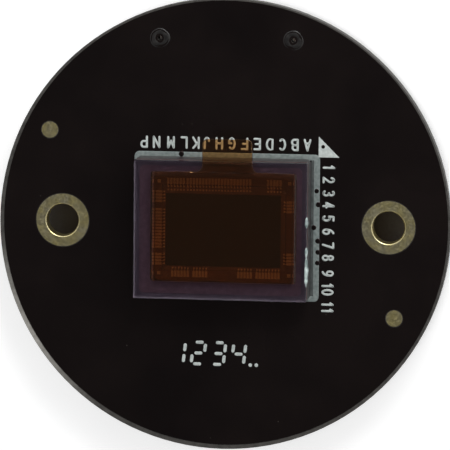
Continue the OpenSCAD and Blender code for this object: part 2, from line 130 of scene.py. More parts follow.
def grainy(name, low, high, size, rough, depth=0.0, **sockets):
    """A finish whose colour, roughness and bump, if any, wander over size millimetres."""
    material, tree, place = start_material(name)
    noise = {"Vector": place, "Scale": 1 / size, "Detail": 3.0}
    noise = add_node(tree, "ShaderNodeTexNoise", noise)["Fac"]
    if depth:
        bump = {"Height": noise, "Distance": depth * MM, "Strength": 1.0}
        sockets["Normal"] = add_node(tree, "ShaderNodeBump", bump)[0]
    sockets["Base_Color"] = wander(tree, noise, low, high)
    sockets["Roughness"] = add_node(tree, "ShaderNodeMapRange", [noise, *SPREAD, *rough])[0]
    finish_material(tree, **sockets)
    return material


# ---------------------------------------------------------------- finishes

# The real crystals, powders and mould pits are a few thousandths of a millimetre across and
# would not show, so they are drawn 0.05 to 0.3 mm across.

# Places where a finish changes: each pair of numbers is where the change starts and ends.
# A painted highlight that makes the board's edge paler towards the lower left, by distance from
# its middle
EDGE_HIGHLIGHT_SPOT = (-12.6, -7.2, 1.5)
EDGE_HIGHLIGHT_FADES = (1.5, 6.5)
# Dust on the mask: grains to a millimetre, a grain's edge as a share of their spacing, and the
# levels of a noise between which the dust comes in
DUST_PER_MM = 0.9
DUST_EDGE = (0.02, 0.04)
DUST_SETTLES = (0.52, 0.62)
# The ceramic body: height where the ledge's glaze ends and where the top begins, and the
# distances from the middle at which its outer walls begin
GLAZE_ENDS = (4.05, 4.25)
TOP_BEGINS = (4.86, 4.89)
WALLS_BEGIN_X = (4.75, 4.85)
WALLS_BEGIN_Y = (3.75, 3.85)
# The top of the array's masked rows
MASKED_ROWS_END = (-1.56, -1.53)
# The floor: the reach over which it feels what covers it, how open it is where its glow starts
# and is full, the glow's strength, and how open it is where its painted brown shade fades out
FLOOR_FEELS = 20
GLOW_GROWS = (0.42, 0.52)
FLOOR_GLOW = 0.72
PAINTED_SHADE_FADES = (0.1, 0.4)


def routed_laminate():
    """Woven glass in epoxy, cut with a router: a dull edge, with a painted highlight at the lower
    left.
    """
    material, tree, place = start_material("routed_laminate")
    flat = add_node(tree, "ShaderNodeVectorMath", [place, (0.25, 0.25, 1.0)], operation="MULTIPLY")
    plies = {"Vector": flat[0], "Scale": 1 / 0.12, "Detail": 2.0}
    plies = add_node(tree, "ShaderNodeTexNoise", plies)["Fac"]
    away = add_node(tree, "ShaderNodeVectorMath", [place, EDGE_HIGHLIGHT_SPOT], operation="DISTANCE")["Value"]
    painted_highlight = add_node(tree, "ShaderNodeMapRange", [away, *EDGE_HIGHLIGHT_FADES, 1.0, 0.0])[0]
    dull = wander(tree, plies, "#32302c", "#494642", 0.3, 0.7)
    # The pale colour is a painted highlight on the edge towards the lower left.
    pale = wander(tree, plies, "#85827b", "#a4a19a", 0.3, 0.7)
    edge = {0: painted_highlight, 6: dull, 7: pale}
    bump = {"Height": plies, "Distance": 0.004 * MM, "Strength": 1.0}
    finish_material(
        tree,
        Base_Color=add_node(tree, "ShaderNodeMix", edge, data_type="RGBA")[2],
        Roughness=add_node(tree, "ShaderNodeMapRange", [plies, *SPREAD, 0.6, 0.75])[0],
        Normal=add_node(tree, "ShaderNodeBump", bump)[0],
    )
    return material


def black_solder_mask():
    """Black light-cured mask: satin, nearly flat, with a faint orange peel and a little dust."""
    material, tree, place = start_material("black_solder_mask")
    cloud = {"Vector": place, "Scale": 1 / 6.0, "Detail": 3.0}
    cloud = add_node(tree, "ShaderNodeTexNoise", cloud)["Fac"]
    peel = {"Vector": place, "Scale": 1 / 0.16, "Detail": 3.0}
    peel = add_node(tree, "ShaderNodeTexNoise", peel)["Fac"]
    drift = {"Vector": place, "Scale": 1 / 4.5, "Detail": 1.0}
    drift = add_node(tree, "ShaderNodeTexNoise", drift)["Fac"]
    dust = {"Vector": place, "Scale": DUST_PER_MM}
    dust = add_node(tree, "ShaderNodeTexVoronoi", dust, feature="F1")["Distance"]
    settled = add_node(tree, "ShaderNodeMapRange", [drift, *DUST_SETTLES, 0.0, 0.75])[0]
    speck = add_node(tree, "ShaderNodeMapRange", [dust, *DUST_EDGE, 1.0, 0.0])[0]
    dusty = add_node(tree, "ShaderNodeMath", [speck, settled], operation="MULTIPLY")[0]
    ground = wander(tree, cloud, "#080606", "#0d0908")
    face = {0: dusty, 6: ground, 7: colour("#4a4640")}
    bump = {"Height": peel, "Distance": 0.001 * MM, "Strength": 1.0}
    finish_material(
        tree,
        Base_Color=add_node(tree, "ShaderNodeMix", face, data_type="RGBA")[2],
        Roughness=add_node(tree, "ShaderNodeMapRange", [cloud, *SPREAD, 0.22, 0.28])[0],
        IOR=1.5,
        Specular_Tint=colour("#ffe4e2"),
        Normal=add_node(tree, "ShaderNodeBump", bump)[0],
    )
    return material


def gold_over_nickel():
    """Immersion gold on nickel: dull straw metal with a slightly uneven, crystalline surface."""
    material, tree, place = start_material("gold_over_nickel")
    cloud = {"Vector": place, "Scale": 1 / 0.7, "Detail": 3.0}
    cloud = add_node(tree, "ShaderNodeTexNoise", cloud)["Fac"]
    grit = {"Vector": place, "Scale": 1 / 0.12, "Detail": 3.0}
    grit = add_node(tree, "ShaderNodeTexNoise", grit)["Fac"]
    bump = {"Height": grit, "Distance": 0.005 * MM, "Strength": 1.0}
    finish_material(
        tree,
        Base_Color=wander(tree, cloud, "#cfc6a2", "#ddcf92"),
        Metallic=1.0,
        Roughness=add_node(tree, "ShaderNodeMapRange", [grit, *SPREAD, 0.28, 0.42])[0],
        Normal=add_node(tree, "ShaderNodeBump", bump)[0],
    )
    return material


def reflowed_solder():
    """Tin solder as it froze: bright grey metal with a soft frosting."""
    return grainy("reflowed_solder", "#aeb1b6", "#c9ccd0", 0.15, (0.22, 0.42), 0.006, Metallic=1.0)


def fired_dark_ceramic():
    """Co-fired alumina, dark violet grey: duller outer walls, a brown glaze on the sunk ledge."""
    material, tree, place = start_material("fired_dark_ceramic")
    reach = add_node(tree, "ShaderNodeVectorMath", [place], operation="ABSOLUTE")[0]
    reach = add_node(tree, "ShaderNodeSeparateXYZ", [reach])
    powder = {"Vector": place, "Scale": 1 / 0.3, "Detail": 3.0}
    powder = add_node(tree, "ShaderNodeTexNoise", powder)["Fac"]
    body = wander(tree, powder, "#5c4546", "#685254")
    wall = wander(tree, powder, "#3a3435", "#464041")
    glaze = wander(tree, powder, "#86593f", "#94664a")
    above_ledge = add_node(tree, "ShaderNodeMapRange", [reach["Z"], *GLAZE_ENDS, 0.0, 1.0])[0]
    on_top = add_node(tree, "ShaderNodeMapRange", [reach["Z"], *TOP_BEGINS, 0.0, 1.0])[0]
    past_x = add_node(tree, "ShaderNodeMapRange", [reach["X"], *WALLS_BEGIN_X, 0.0, 1.0])[0]
    past_y = add_node(tree, "ShaderNodeMapRange", [reach["Y"], *WALLS_BEGIN_Y, 0.0, 1.0])[0]
    outside = add_node(tree, "ShaderNodeMath", [past_x, past_y], operation="MAXIMUM")[0]
    inner = {0: above_ledge, 6: glaze, 7: body}
    inner = add_node(tree, "ShaderNodeMix", inner, data_type="RGBA")[2]
    outer = {0: on_top, 6: wall, 7: body}
    outer = add_node(tree, "ShaderNodeMix", outer, data_type="RGBA")[2]
    whole = {0: outside, 6: inner, 7: outer}
    bump = {"Height": powder, "Distance": 0.0015 * MM, "Strength": 1.0}
    finish_material(
        tree,
        Base_Color=add_node(tree, "ShaderNodeMix", whole, data_type="RGBA")[2],
        Roughness=add_node(tree, "ShaderNodeMapRange", [powder, *SPREAD, 0.28, 0.4])[0],
        Normal=add_node(tree, "ShaderNodeBump", bump)[0],
    )
    return material


def bonding_gold():
    """Plated gold for wire bonding: soft, matt yellow, bright enough to show through the film."""
    return grainy("bonding_gold", "#fbdca2", "#ffeabc", 0.08, (0.5, 0.65), 0.002, Metallic=0.15)


def sawn_silicon():
    """Silicon under its passivation: very dark, smooth, brown in this light."""
    return grainy("sawn_silicon", "#86624f", "#946e5b", 0.5, (0.2, 0.28), 0.0, IOR=2.2)


def filter_array():
    """Colour filters under micro lenses: almost black, a shade browner in the rows at its foot."""
    material, tree, place = start_material("filter_array")
    height = add_node(tree, "ShaderNodeSeparateXYZ", [place])["Y"]
    cloud = {"Vector": place, "Scale": 1 / 1.2, "Detail": 3.0}
    cloud = add_node(tree, "ShaderNodeTexNoise", cloud)["Fac"]
    open_rows = wander(tree, cloud, "#110d10", "#151113")
    is_open = add_node(tree, "ShaderNodeMapRange", [height, *MASKED_ROWS_END, 0.0, 1.0])[0]
    rows = {0: is_open, 6: colour("#120c0b"), 7: open_rows}
    finish_material(
        tree,
        Base_Color=add_node(tree, "ShaderNodeMix", rows, data_type="RGBA")[2],
        Roughness=0.35,
        IOR=1.45,
    )
    return material


def dark_sealing_resin():
    """Cured resin bead under the glass: it takes the ceramic's violet grey, a shade paler."""
    return grainy("dark_sealing_resin", "#484143", "#524b4d", 0.4, (0.4, 0.6), 0.0015)


def resin_with_painted_highlight():
    """Resin run out over the edge and cured: glossy, slightly green, and milky pale as a partly
    painted highlight.
    """
    return grainy("resin_with_painted_highlight", "#6c7e7c", "#d4e2de", 0.5, (0.08, 0.2), 0.006, IOR=1.5)


def coated_cover_glass():
    """Borosilicate with an infrared coating: clear, with a violet reflection."""
    material, tree, place = start_material("coated_cover_glass")
    wave = {"Vector": place, "Scale": 1 / 2.5, "Detail": 3.0}
    wave = add_node(tree, "ShaderNodeTexNoise", wave)["Fac"]
    bump = {"Height": wave, "Distance": 0.0004 * MM, "Strength": 1.0}
    finish_material(
        tree,
        Base_Color=colour("#e3dcea"),
        Roughness=0.02,
        IOR=1.52,
        Transmission_Weight=1.0,
        Specular_Tint=colour("#c0a4c4"),
        Normal=add_node(tree, "ShaderNodeBump", bump)[0],
    )
    return material


def amber_film():
    """Cast polyimide film: clear amber, with a trace of haze and a faint wave."""
    material, tree, place = start_material("amber_film")
    wave = {"Vector": place, "Scale": 1 / 1.6, "Detail": 3.0}
    wave = add_node(tree, "ShaderNodeTexNoise", wave)["Fac"]
    bump = {"Height": wave, "Distance": 0.002 * MM, "Strength": 1.0}
    finish_material(
        tree,
        Base_Color=colour("#d8a671"),
        Specular_Tint=colour("#c6b9bb"),
        Roughness=0.03,
        IOR=1.5,
        Transmission_Weight=0.991,
        Normal=add_node(tree, "ShaderNodeBump", bump)[0],
    )
    return material


def cut_film_edge():
    """The sheared rim of the film: matt, and a deeper amber than its faces."""
    return grainy("cut_film_edge", "#3a230f", "#4c3018", 0.2, (0.6, 0.8), Specular_IOR_Level=0.2)


def white_epoxy_ink():
    """Screened white epoxy ink: chalky, slightly uneven in cover."""
    return grainy("white_epoxy_ink", "#b4bcb8", "#cdd4d0", 0.25, (0.5, 0.7), 0.004)


def outline_ink_painted_shade():
    """The outline's white ink, greyed all over: painted shade from the ceramic body beside it."""
    return grainy("outline_ink_painted_shade", "#6e7876", "#868f8c", 0.2, (0.5, 0.7), 0.004)


def strip_ink_painted_shade():
    """The inner edge of the outline on the right, faint grey: painted shade from the ceramic body.
    """
    return grainy("strip_ink_painted_shade", "#3c4140", "#505554", 0.3, (0.5, 0.7), 0.003)


def mask_over_copper():
    """The black mask where it lies on copper: less glossy, and a shade paler."""
    return grainy("mask_over_copper", "#0e0c0b", "#1c1917", 0.3, (0.4, 0.55), 0.003)


def brown_polarity_ink():
    """Printed band at a moulded capacitor's positive end: dark brown, smooth."""
    return grainy("brown_polarity_ink", "#5c2f16", "#6e3a1c", 0.2, (0.45, 0.6))


def black_connector_polymer():
    """Moulded liquid crystal polymer: black, satin, with a fine flow grain."""
    return grainy("black_connector_polymer", "#161517", "#1f1e20", 0.12, (0.42, 0.6), 0.003)


def gold_plated_contact():
    """Stamped copper alloy under hard gold: bright and smooth."""
    colours = ("#c8a45a", "#dcb86c")
    return grainy("gold_plated_contact", *colours, 0.1, (0.16, 0.28), 0.001, Metallic=1.0)


def tinned_sheet():
    """Tin plated metal: pale grey, between bright and matt."""
    return grainy("tinned_sheet", "#b4b6ba", "#cdcfd2", 0.12, (0.26, 0.42), 0.003, Metallic=1.0)


def moulded_black_epoxy():
    """Filled epoxy moulding: black, with the fine pitting of a spark-eroded mould."""
    return grainy("moulded_black_epoxy", "#131214", "#212023", 0.06, (0.55, 0.75), 0.006)


def pale_fired_ceramic():
    """White alumina base: pale buff, matt."""
    return grainy("pale_fired_ceramic", "#bdb5a3", "#d0c8b6", 0.15, (0.5, 0.7), 0.003)


def nickel_lid():
    """Seam-welded lid, nickel plated and rolled: soft lines along its length."""
    material, tree, place = start_material("nickel_lid")
    long = add_node(tree, "ShaderNodeVectorMath", [place, (0.06, 1.0, 1.0)], operation="MULTIPLY")
    rolled = {"Vector": long[0], "Scale": 1 / 0.05, "Detail": 2.0}
    rolled = add_node(tree, "ShaderNodeTexNoise", rolled)["Fac"]
    bump = {"Height": rolled, "Distance": 0.001 * MM, "Strength": 1.0}
    finish_material(
        tree,
        Base_Color=wander(tree, rolled, "#b8b6b0", "#cbc9c2"),
        Metallic=1.0,
        Roughness=add_node(tree, "ShaderNodeMapRange", [rolled, *SPREAD, 0.24, 0.36])[0],
        Normal=add_node(tree, "ShaderNodeBump", bump)[0],
    )
    return material


def yellow_moulded_epoxy():
    """Moulded capacitor body: ochre yellow, satin."""
    return grainy("yellow_moulded_epoxy", "#b97d22", "#c98f2e", 0.2, (0.4, 0.55), 0.003)


def brown_chip_ceramic():
    """Fired titanate: tan brown, matt, with fine grain."""
    return grainy("brown_chip_ceramic", "#8f7052", "#a6866a", 0.09, (0.5, 0.65), 0.003)


def white_chip_ceramic():
    """Diced alumina: white and matt."""
    return grainy("white_chip_ceramic", "#d8d5cd", "#e8e5de", 0.08, (0.5, 0.7), 0.002)


def black_chip_glaze():
    """Overglaze on a resistor: black and glossy."""
    return grainy("black_chip_glaze", "#121113", "#1b1a1c", 0.15, (0.12, 0.25), 0.002)


def grey_ferrite():
    """Sintered ferrite: dark grey, matt."""
    return grainy("grey_ferrite", "#3a393c", "#4d4c4f", 0.07, (0.45, 0.6), 0.004)


def paper_floor():
    """Paper that keeps the part's shadow: made up to white in the open, painted brown shade where
    covered.
    """
    material, tree, place = start_material("paper_floor")
    fibre = {"Vector": place, "Scale": 1 / 4.0, "Detail": 3.0}
    fibre = add_node(tree, "ShaderNodeTexNoise", fibre)["Fac"]
    paper = wander(tree, fibre, "#b9b9b8", "#bebebd")
    reach = {"Distance": FLOOR_FEELS * MM}
    openness = add_node(tree, "ShaderNodeAmbientOcclusion", reach, samples=12)["AO"]
    lift = add_node(tree, "ShaderNodeMapRange", [openness, *GLOW_GROWS, 0.0, FLOOR_GLOW])[0]
    unshaded_share = add_node(tree, "ShaderNodeMapRange", [openness, *PAINTED_SHADE_FADES, 0.0, 1.0])[0]
    path = add_node(tree, "ShaderNodeLightPath")
    seen = path["Is Camera Ray"]
    for ray in ("Is Glossy Ray", "Is Transmission Ray"):
        seen = add_node(tree, "ShaderNodeMath", [seen, path[ray]], operation="MAXIMUM")[0]
    glow = add_node(tree, "ShaderNodeMath", [lift, seen], operation="MULTIPLY")[0]
    # The dark brown is painted shade on the floor where the part covers it.
    sheet = {0: unshaded_share, 6: colour("#4a3417"), 7: paper}
    finish_material(
        tree,
        Base_Color=add_node(tree, "ShaderNodeMix", sheet, data_type="RGBA")[2],
        Roughness=0.9,
        Specular_IOR_Level=0.0,
        Emission_Color=colour("#ffffff"),
        Emission_Strength=glow,
    )
    return material


def dress(nodes, material):
    """Gives CAD nodes a finish."""
    for name in nodes:
        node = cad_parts[name]
        node.data.materials.clear()
        node.data.materials.append(material)


HAIR_GAP = 0.003


def part_surfaces(name):
    """Draws a CAD node's surface in by a hair, so that it doesn't lie in a neighbour's surface."""
    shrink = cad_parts[name].modifiers.new("hair_gap", "DISPLACE")
    shrink.mid_level = 0.0
    shrink.strength = -HAIR_GAP * MM


def dress_board():
    """Laminate, mask and gold; gives back the mask, which the covered vias share."""
    mask = black_solder_mask()
    gold = gold_over_nickel()
    dress(["circuit_board"], routed_laminate())
    dress(["solder_mask_front", "solder_mask_back"], mask)
    dress(["barrel_plating_left", "barrel_plating_right", "placement_marks"], gold)
    return mask


def dress_sensor():
    """The ceramic body and what lies in it, up to the cover glass."""
    bond = bonding_gold()
    dress(["sensor_package"], fired_dark_ceramic())
    dress(["bond_fingers", "die_pads", "bond_wires"], bond)
    dress(["image_die"], sawn_silicon())
    dress(["pixel_array"], filter_array())
    dress(["glass_seal"], dark_sealing_resin())
    dress(["cover_glass"], coated_cover_glass())


def dress_back():
    """The solder, the connector and the supply parts."""
    solder = reflowed_solder()
    tin = tinned_sheet()
    dress(["sensor_solder_joints", "back_lands", "solder_fillets"], solder)
    dress(["connector_housing"], black_connector_polymer())
    dress(["connector_contacts"], gold_plated_contact())
    dress(["connector_anchors", "regulator_leads", "bulk_capacitor_terminals"], tin)
    dress(["capacitor_ends", "resistor_ends", "ferrite_ends"], tin)
    dress(["regulator_bodies"], moulded_black_epoxy())
    dress(["oscillator_base"], pale_fired_ceramic())
    dress(["oscillator_lid"], nickel_lid())
    dress(["bulk_capacitor_bodies"], yellow_moulded_epoxy())
    dress(["capacitor_bodies"], brown_chip_ceramic())
    dress(["resistor_bodies"], white_chip_ceramic())
    dress(["resistor_coats"], black_chip_glaze())
    dress(["ferrite_bodies"], grey_ferrite())


# ---------------------------------------------------------------- meshes


def new_piece(name, mesh_data, materials, smooth=True):
    """A new object from a bmesh in millimetres, riding on the board."""
    mesh = bpy.data.meshes.new(name)
    bmesh.ops.recalc_face_normals(mesh_data, faces=mesh_data.faces)
    mesh_data.to_mesh(mesh)
    mesh_data.free()
    mesh.transform(Matrix.Scale(MM, 4))
    for material in materials:
        mesh.materials.append(material)
    if smooth:
        mesh.shade_smooth()
    piece = bpy.data.objects.new(name, mesh)
    bpy.context.scene.collection.objects.link(piece)
    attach(piece, BODY)
    return piece


def skin(mesh_data, rings, closed=False):
    """Faces between neighbouring rings of points, with caps unless the rings come round."""
    rows = [[mesh_data.verts.new(point) for point in ring] for ring in rings]
    count = len(rows[0])
    pairs = list(zip(rows, rows[1:] + rows[:1])) if closed else list(zip(rows, rows[1:]))
    for low, high in pairs:
        for i in range(count):
            j = (i + 1) % count
            mesh_data.faces.new([low[i], low[j], high[j], high[i]])
    if not closed:
        mesh_data.faces.new(rows[0])
        mesh_data.faces.new(rows[-1])


def bow(x, y, rx, ry, start, end, steps=10):
    """Points along part of an ellipse, angles in degrees."""
    turns = [math.radians(start + (end - start) * i / steps) for i in range(steps + 1)]
    return [(x + rx * math.cos(a), y + ry * math.sin(a)) for a in turns]


def smooth_runs(points):
    """Splits a line where it turns sharply, so that each stretch gets round ends."""
    runs = [[points[0], points[1]]]
    for point in points[2:]:
        before = Vector(runs[-1][-1]) - Vector(runs[-1][-2])
        after = Vector(point) - Vector(runs[-1][-1])
        if after.length < SAME_POINT:
            continue
        if abs(before.angle_signed(after)) > SHARP_TURN:
            runs.append([runs[-1][-1], point])
        else:
            runs[-1].append(point)
    return runs


def with_round_ends(points, half):
    """Each point with the share of the full width that the line has there."""
    first = (Vector(points[0]) - Vector(points[1])).normalized() * half
    last = (Vector(points[-1]) - Vector(points[-2])).normalized() * half
    turns = [math.pi / 2 * (i + CAP_BLUNT) / (CAP_STEPS + CAP_BLUNT) for i in range(CAP_STEPS)]
    shares = [math.sin(turn) for turn in turns]
    reach = [math.sqrt(1 - s * s) for s in shares]
    start = [(Vector(points[0]) + first * r, s) for r, s in zip(reach, shares)]
    end = [(Vector(points[-1]) + last * r, s) for r, s in zip(reach, shares)]
    return start + [(Vector(p), 1.0) for p in points] + end[::-1]


def ink_ring(point, along, half, base, up, thickness):
    """Section of an ink line: a low dome across the line's direction."""
    side = Vector((-along.y, along.x)).normalized() * half
    ring = [
        (point.x + u * side.x, point.y + u * side.y, base + up * (h * thickness))
        for u, h in INK_PROFILE
    ]
    foot = [(x, y, base - up * INK_SINK) for x, y, _ in (ring[-1], ring[0])]
    return ring + foot


def ink_line(mesh_data, points, width, base, up=1, thickness=INK_T):
    """A printed line that follows points, with round ends and a low domed section."""
    for run in smooth_runs(points):
        marks = with_round_ends(run, width / 2)
        rings = []
        for i, (point, share) in enumerate(marks):
            before = marks[max(i - 1, 0)][0]
            after = marks[min(i + 1, len(marks) - 1)][0]
            rings.append(
                ink_ring(point, after - before, width / 2 * share, base, up, thickness)
            )
        skin(mesh_data, rings)


def ink_loop(mesh_data, points, width, base, up=1, thickness=INK_T):
    """A printed line that comes round to its start."""
    rings = []
    for i, point in enumerate(points):
        along = Vector(points[(i + 1) % len(points)]) - Vector(points[i - 1])
        rings.append(ink_ring(Vector(point), along, width / 2, base, up, thickness))
    skin(mesh_data, rings, closed=True)


def low_dome(mesh_data, x, y, radius, height, base, up=1):
    """A flat-topped dot with a rounded edge."""
    turns = [2 * math.pi * i / DOT_SIDES for i in range(DOT_SIDES)]
    rings = []
    for share, level in [(1.0, -INK_SINK / height)] + DOT_PROFILE:
        out = radius * share
        z = base + up * height * level
        rings.append([(x + out * math.cos(a), y + out * math.sin(a), z) for a in turns])
    skin(mesh_data, rings)


def ripple(waves, at, start=0.0):
    """The height of a sum of waves, each with its rate, size and start."""
    return sum(size * math.sin(rate * at + turn + start) for rate, size, turn in waves)


# ---------------------------------------------------------------- print on the front

# Strokes of each sign in a cell one wide and one high
SIGNS = {
    "A": [[(0, 0), (0.5, 1), (1, 0)], [(0.2, 0.33), (0.8, 0.33)]],
    "B": [
        [(0, 0), (0, 1), (0.55, 1)] + bow(0.55, 0.76, 0.36, 0.24, 90, -90) + [(0, 0.52)],
        [(0.55, 0.52)] + bow(0.6, 0.26, 0.4, 0.26, 90, -90) + [(0, 0)],
    ],
    "C": [bow(0.52, 0.5, 0.52, 0.5, 50, 310, 16)],
    "D": [[(0, 0), (0, 1), (0.4, 1)] + bow(0.42, 0.5, 0.58, 0.5, 90, -90, 14) + [(0, 0)]],
    "E": [[(0.95, 1), (0, 1), (0, 0), (0.95, 0)], [(0, 0.5), (0.75, 0.5)]],
    "F": [[(0.95, 1), (0, 1), (0, 0)], [(0, 0.5), (0.75, 0.5)]],
    "G": [bow(0.52, 0.5, 0.52, 0.5, 50, 335, 16), [(0.99, 0.3), (0.99, 0.47), (0.6, 0.47)]],
    "H": [[(0, 0), (0, 1)], [(1, 0), (1, 1)], [(0, 0.5), (1, 0.5)]],
    "J": [[(0.85, 1), (0.85, 0.35)] + bow(0.47, 0.34, 0.38, 0.34, 0, -170)],
    "K": [[(0, 0), (0, 1)], [(0.95, 1), (0, 0.38)], [(0.35, 0.6), (1, 0)]],
    "L": [[(0, 1), (0, 0), (0.9, 0)]],
    "M": [[(0, 0), (0, 1), (0.5, 0.35), (1, 1), (1, 0)]],
    "N": [[(0, 0), (0, 1), (1, 0), (1, 1)]],
    "P": [[(0, 0), (0, 1), (0.55, 1)] + bow(0.58, 0.72, 0.4, 0.28, 90, -90) + [(0, 0.44)]],
    "0": [bow(0.5, 0.5, 0.5, 0.5, 0, 360, 18)],
    "1": [[(0.2, 0.78), (0.52, 1), (0.52, 0)]],
    "2": [bow(0.5, 0.7, 0.46, 0.3, 165, -35) + [(0.02, 0), (1, 0)]],
    "3": [bow(0.45, 0.76, 0.45, 0.24, 140, -90), bow(0.45, 0.27, 0.5, 0.27, 90, -145)],
    "4": [[(0.72, 0), (0.72, 1), (0, 0.3), (1, 0.3)]],
    "5": [[(0.9, 1), (0.12, 1), (0.06, 0.56)] + bow(0.45, 0.32, 0.5, 0.32, 125, -145)],
    "6": [bow(0.5, 0.3, 0.48, 0.3, 0, 360, 14), bow(0.95, 0.34, 0.93, 0.66, 100, 175, 8)],
    "7": [[(0, 1), (1, 1), (0.35, 0)]],
    "8": [bow(0.5, 0.76, 0.4, 0.24, 0, 360, 14), bow(0.5, 0.26, 0.48, 0.26, 0, 360, 14)],
    "9": [bow(0.5, 0.7, 0.48, 0.3, 0, 360, 14), bow(0.05, 0.66, 0.93, 0.66, 280, 355, 8)],
}

SIGN_H = 0.80
SIGN_W = 0.50
SIGN_STROKE = 0.14

LETTERS = "ABCDEFGHJKLMNP"
LETTER_PITCH = 0.808
LETTER_ROW = 5.16
# These letters stand off the even spacing by so much
LETTER_SHIFT = {"K": 0.11, "L": 0.14, "M": 0.12}

NUMBER_COLUMN = 6.64
NUMBER_ROWS = [3.75, 2.96, 2.10, 1.35, 0.49, -0.36, -1.24, -2.04, -3.04, -4.05, -5.25]
NUMBER_SQUEEZE = 0.86
DIGIT_GAP = 0.41

OUTLINE_W = 0.38
OUTLINE = {"left": -5.67, "right": 5.885, "top": 4.38, "bottom": -4.70}
OUTLINE_R = 0.14
# The painted shade strip's width, and how far it stops short of the outline's corners
SHADE_STRIP_W = 0.2
SHADE_STRIP_SHORT = 0.3

# The triangle's corners, and its edge from the foot up: share of its size, and height
TRIANGLE = [(5.97, 5.74), (5.97, 4.40), (7.31, 4.40)]
TRIANGLE_EDGE = [(1.0, -INK_SINK), (1.0, 0.3 * INK_T), (0.97, INK_T)]

# Covered holes in the print: where, and the radius; they stand above the ink by VIA_RISE
VIAS = [(5.88, 2.24, 0.16), (5.99, 1.37, 0.18), (5.72, -0.11, 0.17), (5.98, -0.97, 0.18)]
VIAS += [(5.99, -1.69, 0.17), (5.97, -2.38, 0.16), (-2.84, 4.43, 0.18), (6.26, 5.09, 0.13)]
VIA_RISE = 0.012

# Covered pads, and the swelling of the mask round each: radius and height over the mask
PADS = [(-4.28, 11.83), (4.28, 11.83)]
PAD_SLOPE = [(0.24, 0.028), (0.26, 0.032), (0.34, 0.042), (0.42, 0.044), (0.49, 0.037)]
PAD_SLOPE += [(0.54, 0.031), (0.58, 0.018), (0.63, 0.002), (0.64, -0.004)]
PAD_SIDES = 48
# Unevenness of the swelling: waves round the pad, how much they lift it and widen it, and how
# far they are turned from one pad to the next
PAD_WAVES = [(2, 0.10, 0.8), (3, 0.07, 2.1), (5, 0.04, 0.4)]
PAD_LIFTS = 0.8
PAD_WIDENS = 0.35
PAD_TURN = 1.7

# The running number: middle of the first digit, pitch, cell, bar and slant, and its two dots
CODE_FIRST = (-2.94, -8.40)
CODE_PITCH = 1.30
CODE_CELL = (0.78, 1.41)
CODE_BAR = 0.21
CODE_SLANT = math.tan(math.radians(6.5))
CODE_DOTS = [(1.72, -9.09), (2.11, -9.09)]
CODE_DOT_R = 0.12

# Bars of a plain number: the ends of each bar in a cell two wide and four high
BARS = {
    "top": [(0.6, 4), (1.4, 4)],
    "middle": [(0.6, 2), (1.4, 2)],
    "bottom": [(0.6, 0), (1.4, 0)],
    "upper_left": [(0, 2.55), (0, 3.45)],
    "upper_right": [(2, 2.55), (2, 3.45)],
    "lower_left": [(0, 0.55), (0, 1.45)],
    "lower_right": [(2, 0.55), (2, 1.45)],
}
CODE = [
    ["upper_right", "lower_right"],
    ["top", "upper_right", "middle", "lower_left", "bottom"],
    ["top", "upper_right", "middle", "lower_right", "bottom"],
    ["upper_left", "middle", "upper_right", "lower_right"],
]


def print_sign(mesh_data, sign, x, y, turn, squeeze=1.0):
    """One sign centred on a point and turned by a number of degrees."""
    spin = Matrix.Rotation(math.radians(turn), 2)
    width = SIGN_W * squeeze - SIGN_STROKE
    height = SIGN_H - SIGN_STROKE
    for stroke in SIGNS[sign]:
        points = []
        for u, v in stroke:
            spot = spin @ Vector(((u - 0.5) * width, (v - 0.5) * height))
            points.append((x + spot.x, y + spot.y))
        if (Vector(points[0]) - Vector(points[-1])).length > LOOP_CLOSED:
            ink_line(mesh_data, points, SIGN_STROKE, mask_top)
        else:
            ink_loop(mesh_data, points[:-1], SIGN_STROKE, mask_top)


def print_letters(ink):
    """The column letters of the solder grid, along the top, read from the other side."""
    mesh_data = bmesh.new()
    for i, sign in enumerate(LETTERS):
        x = ((len(LETTERS) - 1) / 2 - i) * LETTER_PITCH + LETTER_SHIFT.get(sign, 0.0)
        print_sign(mesh_data, sign, x, LETTER_ROW, 180)
    new_piece("grid_letters", mesh_data, [ink])


def print_numbers(ink):
    """The row numbers of the solder grid, down the right side."""
    mesh_data = bmesh.new()
    for i, y in enumerate(NUMBER_ROWS):
        digits = str(i + 1)
        for k, digit in enumerate(digits):
            shift = ((len(digits) - 1) / 2 - k) * DIGIT_GAP
            print_sign(mesh_data, digit, NUMBER_COLUMN, y + shift, -90, NUMBER_SQUEEZE)
    new_piece("grid_numbers", mesh_data, [ink])


def print_outline(ink):
    """The line round the sensor's place, with rounded corners."""
    left, right, top, bottom = (OUTLINE[side] for side in ("left", "right", "top", "bottom"))
    corners = [
        (right - OUTLINE_R, top - OUTLINE_R, 0),
        (left + OUTLINE_R, top - OUTLINE_R, 90),
        (left + OUTLINE_R, bottom + OUTLINE_R, 180),
        (right - OUTLINE_R, bottom + OUTLINE_R, 270),
    ]
    points = []
    for x, y, start in corners:
        points += bow(x, y, OUTLINE_R, OUTLINE_R, start, start + 90, 6)
    mesh_data = bmesh.new()
    ink_loop(mesh_data, points, OUTLINE_W, mask_top)
    new_piece("sensor_outline", mesh_data, [ink])


def print_painted_shade_strip(ink):
    """A faint grey strip inside the outline's right side: painted shade from the ceramic body's
    wall.
    """
    x = (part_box("sensor_package")[1].x / MM + OUTLINE["right"] - OUTLINE_W / 2) / 2
    mesh_data = bmesh.new()
    points = [(x, OUTLINE["top"] - SHADE_STRIP_SHORT), (x, OUTLINE["bottom"] + SHADE_STRIP_SHORT)]
    ink_line(mesh_data, points, SHADE_STRIP_W, mask_top, 1, INK_T / 2)
    new_piece("painted_shade_strip", mesh_data, [ink])


